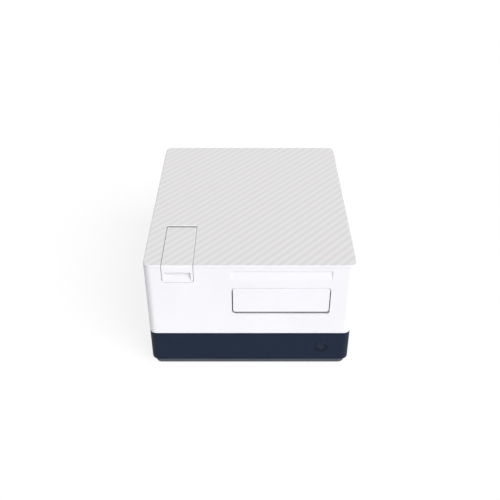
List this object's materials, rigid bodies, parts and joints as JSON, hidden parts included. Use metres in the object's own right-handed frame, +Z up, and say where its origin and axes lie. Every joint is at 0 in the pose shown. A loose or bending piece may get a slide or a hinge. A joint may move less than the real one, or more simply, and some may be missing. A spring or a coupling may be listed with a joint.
{
  "type": "microplate reader",
  "caption": "Bench microplate reader: white over navy case, a top-hinged plate door with a sliding plate carrier, a cuvette port under a corner lid, and a striped top.",
  "frame": {"origin": "middle of the footprint, at the underside of the feet", "axes": "+X to the right seen from the front, +Y from the front to the back, +Z up"},
  "size_m": [0.3, 0.357, 0.1906],
  "materials": {
    "white_plastic": "fine satin texture",
    "top_film": "printed film with fine diagonal stripes",
    "navy_plastic": "satin",
    "button_plastic": "satin",
    "graphite_plastic": "fine texture",
    "black_plastic": "matte",
    "rubber": "matte",
    "foam": "open foam",
    "steel": "brushed",
    "aluminium": "milled",
    "dark_aluminium": "black anodised",
    "bronze": "machined",
    "motor_black": "satin",
    "circuit_board": "solder mask",
    "board_parts": "moulded"
  },
  "bodies": {
    "root": {"base_pan": "graphite_plastic", "lower_band": "navy_plastic", "upper_housing": "white_plastic", "top_cover": "white_plastic", "top_film": "top_film", "rear_panel": "steel", "feet": "rubber", "case_screws": "steel", "power_inlet": "black_plastic", "inlet_blades": "steel", "usb_socket": "steel", "fan_frame": "black_plastic", "fan_guard": "steel", "chassis_deck": "aluminium", "deck_posts": "steel", "door_frame": "black_plastic", "guide_rods": "steel", "rod_blocks": "aluminium", "tray_motor": "motor_black", "idler_posts": "steel", "tray_belt": "rubber", "rail_wall": "aluminium", "scan_rail": "steel", "scan_motor": "motor_black", "scan_belt": "rubber", "cuvette_bay": "black_plastic", "bay_seal": "foam", "cuvette_holder": "aluminium", "cuvette_fibre": "black_plastic", "mono_body": "dark_aluminium", "mono_cover": "dark_aluminium", "optics_motors": "motor_black", "optics_bracket": "aluminium", "lamp_housing": "aluminium", "beam_tube": "dark_aluminium", "power_supply": "steel", "main_board": "circuit_board", "board_parts": "board_parts", "button_board": "circuit_board"},
    "tray": {"plate_carrier": "aluminium", "carrier_bushes": "bronze", "plate_clip": "steel"},
    "door": {"plate_door": "white_plastic", "door_pins": "steel"},
    "tray_drive": {"tray_pulley": "steel"},
    "tray_return": {"tray_idler": "steel"},
    "scan_head": {"scan_carriage": "dark_aluminium", "scan_yoke": "dark_aluminium", "scan_lens": "dark_aluminium", "scan_detector": "dark_aluminium"},
    "scan_drive": {"scan_pulley": "steel"},
    "scan_return": {"scan_idler": "steel"},
    "lid": {"cuvette_lid": "white_plastic", "lid_film": "top_film", "lid_pins": "steel"},
    "button": {"power_button": "button_plastic"},
    "fan": {"fan_rotor": "black_plastic"},
    "wheel": {"filter_wheel": "aluminium"},
    "grating": {"grating_table": "aluminium"}
  },
  "joints": [
    {"name": "tray_slide", "type": "slide", "parent": "root", "child": "tray", "axis": [0, -1, 0], "range_m": [0, 0.195]},
    {"name": "door_swing", "type": "hinge", "parent": "root", "child": "door", "pos_m": [0.0448, -0.176, 0.1452], "axis": [-1, 0, 0], "range_deg": [0, 100]},
    {"name": "tray_drive_turn", "type": "hinge", "parent": "root", "child": "tray_drive", "pos_m": [0.1248, 0.0816, 0.104], "axis": [0, 0, 1], "continuous": true},
    {"name": "tray_return_turn", "type": "hinge", "parent": "root", "child": "tray_return", "pos_m": [0.1248, -0.1585, 0.104], "axis": [0, 0, 1], "continuous": true},
    {"name": "scan_slide", "type": "slide", "parent": "root", "child": "scan_head", "axis": [1, 0, 0], "range_m": [-0.0495, 0.0495]},
    {"name": "scan_drive_turn", "type": "hinge", "parent": "root", "child": "scan_drive", "pos_m": [-0.0352, 0.0976, 0.146], "axis": [0, 1, 0], "continuous": true},
    {"name": "scan_return_turn", "type": "hinge", "parent": "root", "child": "scan_return", "pos_m": [0.1248, 0.0976, 0.146], "axis": [0, 1, 0], "continuous": true},
    {"name": "lid_swing", "type": "hinge", "parent": "root", "child": "lid", "pos_m": [-0.102, -0.0849, 0.186], "axis": [-1, 0, 0], "range_deg": [0, 100]},
    {"name": "button_press", "type": "slide", "parent": "root", "child": "button", "axis": [0, 1, 0], "range_m": [0, 0.0015], "stiffness_N_per_m": 800},
    {"name": "fan_spin", "type": "hinge", "parent": "root", "child": "fan", "pos_m": [0.07, 0.174, 0.0377], "axis": [0, 1, 0], "continuous": true},
    {"name": "wheel_spin", "type": "hinge", "parent": "root", "child": "wheel", "pos_m": [-0.1001, 0.066, 0.134], "axis": [0, 1, 0], "continuous": true},
    {"name": "grating_turn", "type": "hinge", "parent": "root", "child": "grating", "pos_m": [-0.1001, -0.008, 0.09], "axis": [0, 0, 1], "range_deg": [-40, 40]}
  ],
  "couplings": [
    {"joint": "door_swing", "follows": "tray_slide", "rad_per_m": 8.9504},
    {"joint": "tray_drive_turn", "follows": "tray_slide", "rad_per_m": 142.86},
    {"joint": "tray_return_turn", "follows": "tray_slide", "rad_per_m": 142.86},
    {"joint": "scan_drive_turn", "follows": "scan_slide", "rad_per_m": -142.86},
    {"joint": "scan_return_turn", "follows": "scan_slide", "rad_per_m": -142.86}
  ]
}
